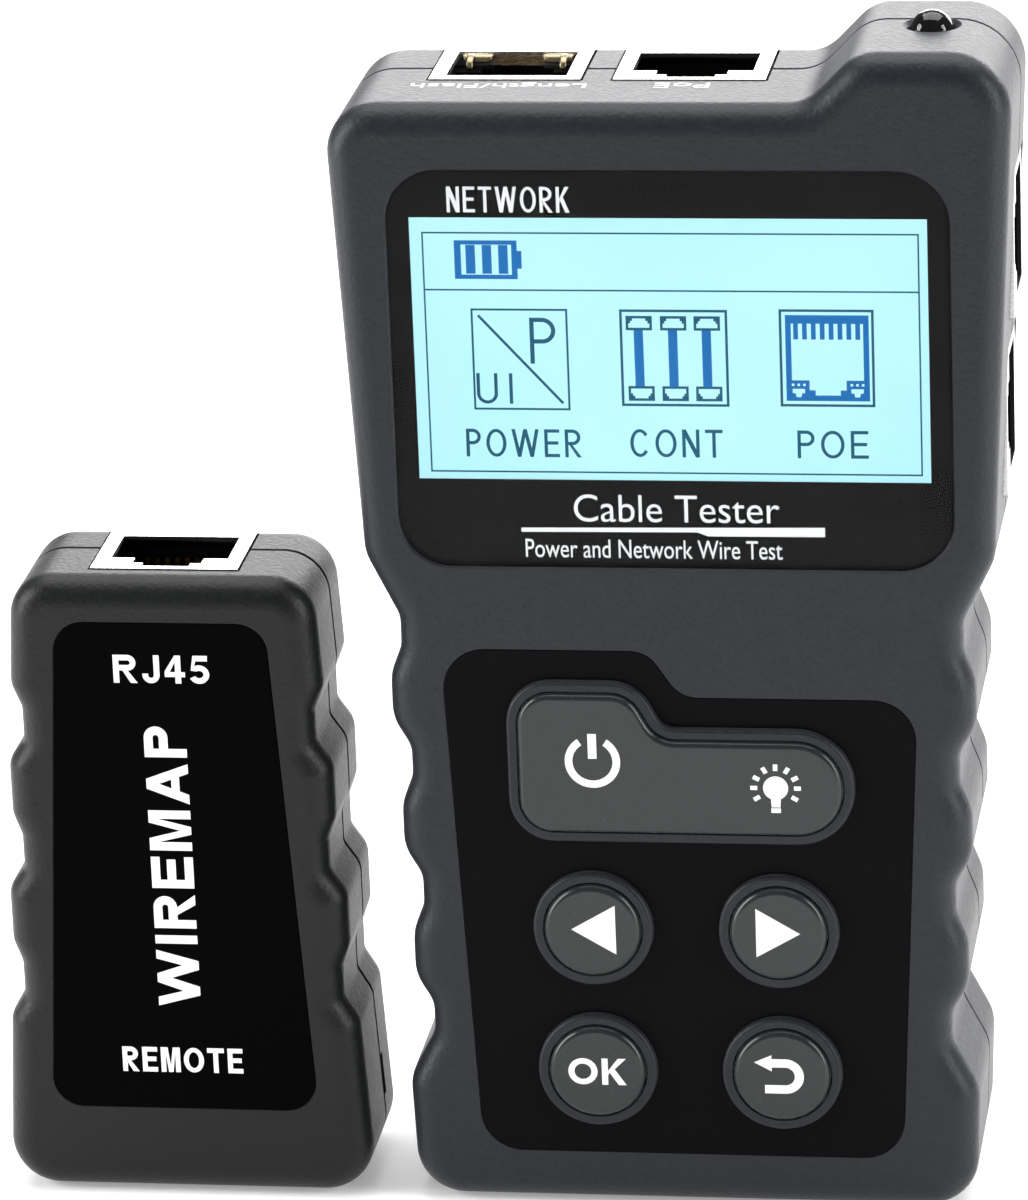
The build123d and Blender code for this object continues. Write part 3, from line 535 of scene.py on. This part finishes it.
lines = [ring(-24.1, 24.2, -12.95, 11.5, 0.16), [rect(-24.0, 24.1, 5.58, 5.74)],
         ring(-19.57, -10.09, -6.53, 3.78, 0.2), [bar((-18.85, 3.08), (-10.78, -5.82), 0.26)],
         ring(-5.02, 5.5, -6.04, 3.77, 0.25),
         ring(10.5, 19.7, -5.96, 3.88, 0.25)]
lines += block("P", -13.85, -11.32, -1.79, 2.87, 0.42)
lines += block("UI", -19.25, -15.75, -5.9, -2.8, 0.33, 0.42)
lines += block("POWER", -20.5, -9.15, -11.35, -8.5, 0.33, 0.26)
lines += block("CONT", -4.33, 4.75, -11.25, -8.4, 0.33, 0.26)
lines += block("POE", 12.04, 18.96, -11.22, -8.4, 0.33, 0.26)

# the battery symbol
icons = [[rect(-20.95, -14.8, 6.77, 10.66), rect(-20.3, -15.35, 7.2, 10.24)],
         [rect(-14.83, -14.37, 7.83, 9.61)]]
icons += [[rect(x, x + 0.92, 7.3, 10.2)] for x in (-19.83, -18.23, -16.63)]

# three wires, each with a plug outline at its top and its foot
for top_x, low_x in ((-3.13, -3.05), (0.22, 0.27), (3.5, 3.56)):
    icons.append([[(top_x - 0.53, 1.8), (top_x + 0.37, 1.8), (low_x + 0.33, -4.1),
                   (low_x - 0.57, -4.1)]])
    for x, foot, tip in ((top_x, 1.67, 3.12), (low_x, -4.0, -5.5)):
        t = 0.25 if tip > foot else -0.25
        lines.append([rect(x - 1.28, x + 1.28, min(foot, tip), max(foot, tip)),
                      [(x - 1.03, foot + t), (x + 1.03, foot + t), (x + 1.03, tip - 3.0 * t),
                       (x + 0.85, tip - 3.0 * t), (x + 0.85, tip - 2.0 * t),
                       (x + 0.65, tip - 2.0 * t), (x + 0.65, tip - t), (x - 0.65, tip - t),
                       (x - 0.65, tip - 2.0 * t), (x - 0.85, tip - 2.0 * t),
                       (x - 0.85, tip - 3.0 * t), (x - 1.03, tip - 3.0 * t)]])

# a socket with its eight contacts
jack_l, jack_r, jack_mid = 11.1, 19.2, 15.12
icons.append([rect(jack_l, jack_r, -5.38, 3.3),
              [(jack_l + 0.55, 2.45), (jack_l + 0.55, -3.3), (jack_l + 2.25, -3.3),
               (jack_l + 2.25, -4.3), (jack_l + 2.83, -4.3), (jack_l + 2.83, -4.82),
               (jack_r - 2.83, -4.82), (jack_r - 2.83, -4.3), (jack_r - 2.25, -4.3),
               (jack_r - 2.25, -3.3), (jack_r - 0.55, -3.3), (jack_r - 0.55, 2.45)]]
             + [rect(x + dx - 0.13, x + dx + 0.13, -3.88, -3.62)
                for x in (jack_l + 1.2, jack_r - 1.2) for dx in (-0.55, 0.0, 0.55)]
             + [[(x - 0.6, -4.15), (x - 0.6, -4.6), (x - 0.33, -4.6), (x - 0.23, -5.0),
                 (x + 0.23, -5.0), (x + 0.33, -4.6), (x + 0.6, -4.6), (x + 0.6, -4.15)]
                for x in (jack_l + 1.2, jack_r - 1.2)])
icons += [[rect(x - 0.23, x + 0.23, 0.85, 2.5)]
          for x in (jack_mid + 0.86 * (i - 3.5) for i in range(8))]

stamp("screen_lines", lines, "tester", screen, line_ink)
stamp("screen_icons", icons, "tester", screen, icon_ink)


# ------------------------------------------------ spring fingers of one socket

FINGER_PATH = [(0.0, 0.0), (-0.45, 0.16), (-1.0, 0.18), (-1.6, -0.05), (-2.1, -0.55),
               (-2.35, -1.25), (-2.2, -2.0)]      # (y, z) of a finger that reaches 2.35
FINGER_REACH = 2.35
HALF_STRIP = 0.13     # half a finger's thickness
NARROWING = 0.16      # how much of its width each side loses towards its tip


def finger(name, x0, x1, root, reach, drop, body, tree):
    """A curled spring strip: it bends from the mouth's far edge down into the socket."""
    path = [(y * reach / FINGER_REACH, z * drop) for y, z in FINGER_PATH]
    bm = bmesh.new()
    rings = []
    for i, (y, z) in enumerate(path):
        ahead = Vector(path[min(i + 1, len(path) - 1)]) - Vector(path[max(i - 1, 0)])
        n = Vector((-ahead.y, ahead.x)).normalized() * HALF_STRIP
        narrow = NARROWING * i / len(path) * (x1 - x0)
        rings.append([bm.verts.new((x, root[0] + y + k * n.x, root[1] + z + k * n.y))
                      for x, k in ((x0 + narrow, -1), (x1 - narrow, -1), (x1 - narrow, 1),
                                   (x0 + narrow, 1))])
    for a, b in zip(rings, rings[1:]):
        for i in range(4):
            bm.faces.new((a[i], a[(i + 1) % 4], b[(i + 1) % 4], b[i]))
    bm.faces.new(rings[0][::-1])
    bm.faces.new(rings[-1])
    bmesh.ops.recalc_face_normals(bm, faces=bm.faces)
    for f in bm.faces:
        f.smooth = True
    bmesh.ops.transform(bm, verts=bm.verts, matrix=TO_METRES)
    piece = piece_of(bm, name, tree)
    smooth = piece.modifiers.new("round", "SUBSURF")
    smooth.levels = smooth.render_levels = 2
    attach(piece, body)


mouth = middle("port_a_shield")
far = (side("port_a_shield", 1, 1) - 1.0, side("port_a_shield", 1, 2) - 0.25)
spring_brass = metal("spring_brass", (150, 138, 112), (0.26, 0.38), (6.0, 1.0, 1.0))
for end, way in (("left", -1), ("right", 1)):
    for part, near, outer, reach, drop in (("bar", 2.1, 5.9, 0.9, 0.35),
                                           ("curl", 4.2, 5.1, 2.2, 0.6)):
        x0, x1 = sorted((mouth.x + way * near, mouth.x + way * outer))
        finger("spring_" + part + "_" + end, x0, x1, far, reach, drop, "tester", spring_brass)


# ------------------------------------------------- plastic lips of the sockets

def mouth_loop(inset):
    """A plug opening about the middle of its socket's face, with the latch's slot below it."""
    top, w, h = SOCKET_HALF_H - MOUTH_BORDER - inset, MOUTH_W / 2 - inset, MOUTH_H - 2 * inset
    low = top - h
    step_1, step_2 = LATCH_W1 / 2 - inset, LATCH_W2 / 2 - inset
    half = [(w, top), (w, low), (step_1, low), (step_1, low - LATCH_H1),
            (step_2, low - LATCH_H1), (step_2, low - LATCH_H1 - LATCH_H2)]
    return half + [(-x, z) for x, z in reversed(half)]


for port, body in (("port_b", "tester"), ("port_c", "tester"), ("port_d", "tester"),
                   ("remote_port", "remote_unit")):
    at = middle(port + "_shield")
    axis, facing = (0, SIDEWAYS) if port in ("port_c", "port_d") else (2, Matrix())
    at[axis] = side(port + "_shield", 1, axis) - LIP / 2 - LIP_DEPTH
    stamp(port + "_lip", [plate([mouth_loop(-0.02), mouth_loop(0.06)], LIP)], body, at,
          finishes["port_black"], facing)


# ----------------------------------------------------------------- lens print

lens = middle("display_lens")
mask_front = side("lens_mask", 0, 1)
lens_words = block("NETWORK", -21.3, -9.35, 15.78, 18.35, 0.31, 0.22)
lens_words += [word("Cable Tester", -9.95, 10.25, -15.62, -12.8, -0.01),
               word("Power and Network Wire Test", -14.85, 10.45, -19.35, -17.45, 0.01),
               [[(-15.2, -16.72), (2.15, -16.6), (3.2, -17.0), (14.65, -16.95), (14.65, -16.0),
                 (-15.2, -16.3)]]]
stamp("lens_print", lens_words, "tester", (lens.x, mask_front, lens.z), lens_ink)


# ----------------------------------------------------------------- key symbols

def mark(name, shapes, body, at):
    """A white symbol on a key's face."""
    stamp(name, shapes, body, (at[0], side(body, 0, 1), at[1]), white_ink)


key = {n: middle("key_" + n) for n in ("prev", "next", "ok", "return")}
mark("mark_prev", [[[(-2.08, 0.0), (2.36, -2.6), (2.34, 2.6)]]], "key_prev",
     (key["prev"].x, key["prev"].z + 0.2))
mark("mark_next", [[[(-2.2, 2.55), (-2.2, -2.6), (2.2, -0.05)]]], "key_next",
     (key["next"].x, key["next"].z + 0.2))
mark("mark_ok", block("OK", -2.9, 2.95, -1.3, 1.55, 0.62, 0.14), "key_ok",
     (key["ok"].x, key["ok"].z))
bend_x, bend_z, bend_out, bend_in = 0.37, -0.17, 1.86, 0.96
mark("mark_return",
     [[[(-2.73, 1.31), (-0.98, 2.1), (-0.98, 1.69)] + arc(bend_x, bend_z, bend_out, 90, -90)
       + [(-1.7, bend_z - bend_out), (-1.7, bend_z - bend_in)]
       + arc(bend_x, bend_z, bend_in, -90, 90)
       + [(-0.98, bend_z + bend_in), (-0.98, 0.36)]]], "key_return",
     (key["return"].x, key["return"].z + 0.2))

power_at = (side("key_power_light", 0, 0) + 7.43, side("key_power_light", 0, 2) + 7.6)
mark("mark_power", [[arc(0, 0, 2.76, 122, 418) + arc(0, 0, 2.0, 418, 122)],
                    [rect(-0.43, 0.43, 0.3, 2.9)]], "key_power_light", power_at)
lamp_at = (side("key_power_light", 1, 0) - 6.57, side("key_power_light", 0, 2) + 5.1)
spokes = [(math.cos(math.radians(a)), math.sin(math.radians(a)))
          for a in (-30, 0, 28, 59, 90, 121, 152, 180, 210)]
rays = [[bar((1.82 * c, 1.82 * s), (2.5 * c, 2.5 * s), 0.44)] for c, s in spokes]
mark("mark_lamp", rays + [[arc(0, 0, 1.24, -67, 247) + [(-0.44, -2.02), (0.44, -2.02)]],
                          [rect(-0.47, 0.47, -2.6, -2.12)]], "key_power_light", lamp_at)


# --------------------------------------------------------- jack and remote words

top_face = side("port_a_shield", 1, 2) - 0.1        # the sockets stand 0.1 proud of it
words_y = side("port_a_shield", 0, 1) - 1.95
stamp("jack_words_a", [word("Length/Flash", -8.6, 8.6, -0.95, 0.95)], "tester",
      (middle("port_a_shield").x - 0.3, words_y, top_face), white_ink, TOP_TURNED)
stamp("jack_words_b", [word("PoE", -2.7, 2.7, -0.9, 0.9)], "tester",
      (middle("port_b_shield").x - 0.5, words_y, top_face), white_ink, TOP_TURNED)

label = middle("remote_label")
label_at = (label.x, side("remote_label", 0, 1), 0.0)
stamp("remote_words", block("RJ45", -4.85, 4.85, 55.4, 58.35, 0.58, 0.17)
      + block("REMOTE", -6.25, 6.15, 13.4, 16.1, 0.50, 0.17), "remote_unit", label_at, white_ink)
stamp("remote_wiremap", turned(block("WIREMAP", 20.7, 50.8, -2.15, 2.15, 0.90, 0.15)),
      "remote_unit", label_at, white_ink)


# ------------------------------------------------------------- floor and light

AIM = (-0.015, 0.0, 0.06)      # the middle of the two units, m


def softbox(name, at, size, power):
    """A white area lamp at a place (m), aimed at the units; power in watts."""
    data = bpy.data.lights.new(name, "AREA")
    data.shape = "RECTANGLE"
    data.size, data.size_y = size
    data.energy = power
    lamp = bpy.data.objects.new(name, data)
    lamp.location = at
    lamp.rotation_mode = "QUATERNION"
    lamp.rotation_quaternion = (Vector(AIM) - Vector(at)).to_track_quat("-Z", "Y")
    bpy.context.scene.collection.objects.link(lamp)


softbox("overhead", (0.0, 0.3, 1.2), (1.4, 1.1), 20.0)
softbox("back", (0.25, 1.2, 0.46), (1.5, 0.5), 16.0)
softbox("strip_left", (-0.70, -0.20, 0.30), (0.3, 0.6), 6.0)
softbox("strip_right", (0.65, -0.20, 0.28), (0.2, 0.55), 3.5)

world = bpy.data.worlds.new("studio")
world.use_nodes = True
background = world.node_tree.nodes["Background"].inputs
background["Color"].default_value = (1, 1, 1, 1)
background["Strength"].default_value = 0.20
bpy.context.scene.world = world

FLOOR_RADIUS, FLOOR_GAP = 4.0, 0.0002      # m; the gap keeps the bases off the paper
bm = bmesh.new()
bmesh.ops.create_circle(bm, cap_ends=True, segments=96, radius=FLOOR_RADIUS)
paper = finish("floor_paper", (243, 243, 243), spread=0.01, patch=6.0, rough=(0.75, 0.85),
               grain=300.0, relief=0.02, Specular_IOR_Level=0.2,
               Emission_Color=(1, 1, 1, 1), Emission_Strength=0.26)
floor = piece_of(bm, "floor", paper)
floor.location.z = cad_box[0].z - FLOOR_GAP


# ---------------------------------------------------------------------- camera

# fitted to the photo: where it aims, how far away it stands, and how it is turned
target, distance = Vector((-16.06, -13.0, 64.66)) * MM, 665.95
azimuth, elevation, roll = math.radians(8.80), math.radians(19.26), math.radians(-2.22)
away = Vector((math.sin(azimuth) * math.cos(elevation), -math.cos(azimuth) * math.cos(elevation),
               math.sin(elevation)))
camera_data = bpy.data.cameras.new("camera")
camera_data.sensor_width = 36.0
camera_data.lens = 203.5
camera = bpy.data.objects.new("camera", camera_data)
camera.location = target + away * distance * MM
camera.rotation_mode = "QUATERNION"
camera.rotation_quaternion = (-away).to_track_quat("-Z", "Y") @ Quaternion((0, 0, 1), roll)
bpy.context.scene.collection.objects.link(camera)
bpy.context.scene.camera = camera
bpy.context.scene.view_settings.view_transform = "Standard"
